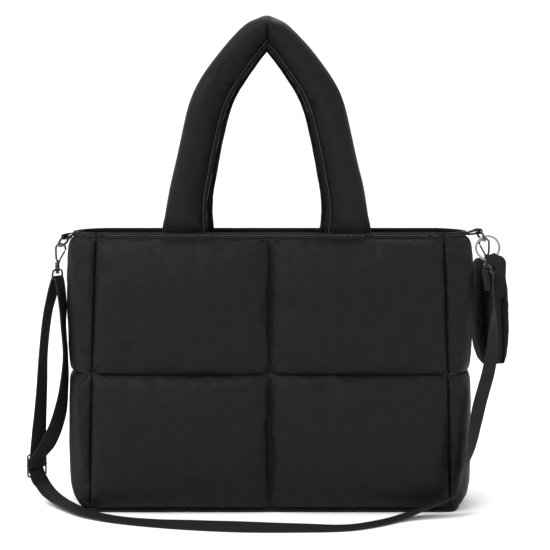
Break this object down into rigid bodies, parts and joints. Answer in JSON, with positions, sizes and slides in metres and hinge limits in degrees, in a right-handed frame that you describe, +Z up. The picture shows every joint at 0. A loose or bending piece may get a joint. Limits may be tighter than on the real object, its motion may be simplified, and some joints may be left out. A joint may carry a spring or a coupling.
{
  "type": "quilted puffer tote bag with shoulder strap and hanging pouch",
  "caption": "Quilted puffer tote with padded arched handles, flared gussets, an open top, a clipped adjustable shoulder strap and a small padded zip pouch on a key ring.",
  "frame": {"origin": "middle of the base's flat underside, on the floor", "axes": "+Z up, -Y towards the front panel, +X to the right as seen from the front"},
  "size_m": [0.5304, 0.2382, 0.5234],
  "materials": {
    "puffer_nylon": "soft sheen woven nylon",
    "pouch_nylon": "soft sheen woven nylon",
    "webbing": "matte ribbed webbing",
    "silver": "polished",
    "gunmetal": "dark satin"
  },
  "bodies": {
    "bag": {"front_panel": "puffer_nylon", "back_panel": "puffer_nylon", "gusset_left": "puffer_nylon", "gusset_right": "puffer_nylon", "base_panel": "puffer_nylon", "front_handle": "puffer_nylon", "back_handle": "puffer_nylon", "d_ring_left": "silver", "tab_left": "webbing", "strap_ring_left": "silver", "d_ring_right": "silver", "tab_right": "webbing", "strap_ring_right": "silver", "strap_slider": "silver", "shoulder_strap": "webbing", "key_ring": "silver", "pouch_tab": "webbing", "pouch_inner_face": "pouch_nylon", "pouch_outer_face": "pouch_nylon", "pouch_zip_strip": "pouch_nylon"},
    "left_hook": {"hook_left": "silver"},
    "left_gate": {"gate_left": "gunmetal"},
    "right_hook": {"hook_right": "silver"},
    "right_gate": {"gate_right": "gunmetal"}
  },
  "joints": [
    {"name": "left_swivel", "type": "hinge", "parent": "bag", "child": "left_hook", "pos_m": [-0.22975, 0, 0.25911], "axis": [0, 0, 1], "range_deg": [-15, 15]},
    {"name": "left_gate_spring", "type": "hinge", "parent": "left_hook", "child": "left_gate", "pos_m": [-0.2278, 0, 0.26061], "axis": [0, -1, 0], "range_deg": [0, 20], "stiffness_Nm_per_rad": 0.01},
    {"name": "right_swivel", "type": "hinge", "parent": "bag", "child": "right_hook", "pos_m": [0.23475, 0, 0.26511], "axis": [0, 0, 1], "range_deg": [-15, 15]},
    {"name": "right_gate_spring", "type": "hinge", "parent": "right_hook", "child": "right_gate", "pos_m": [0.2328, 0, 0.26661], "axis": [0, 1, 0], "range_deg": [0, 20], "stiffness_Nm_per_rad": 0.01}
  ]
}
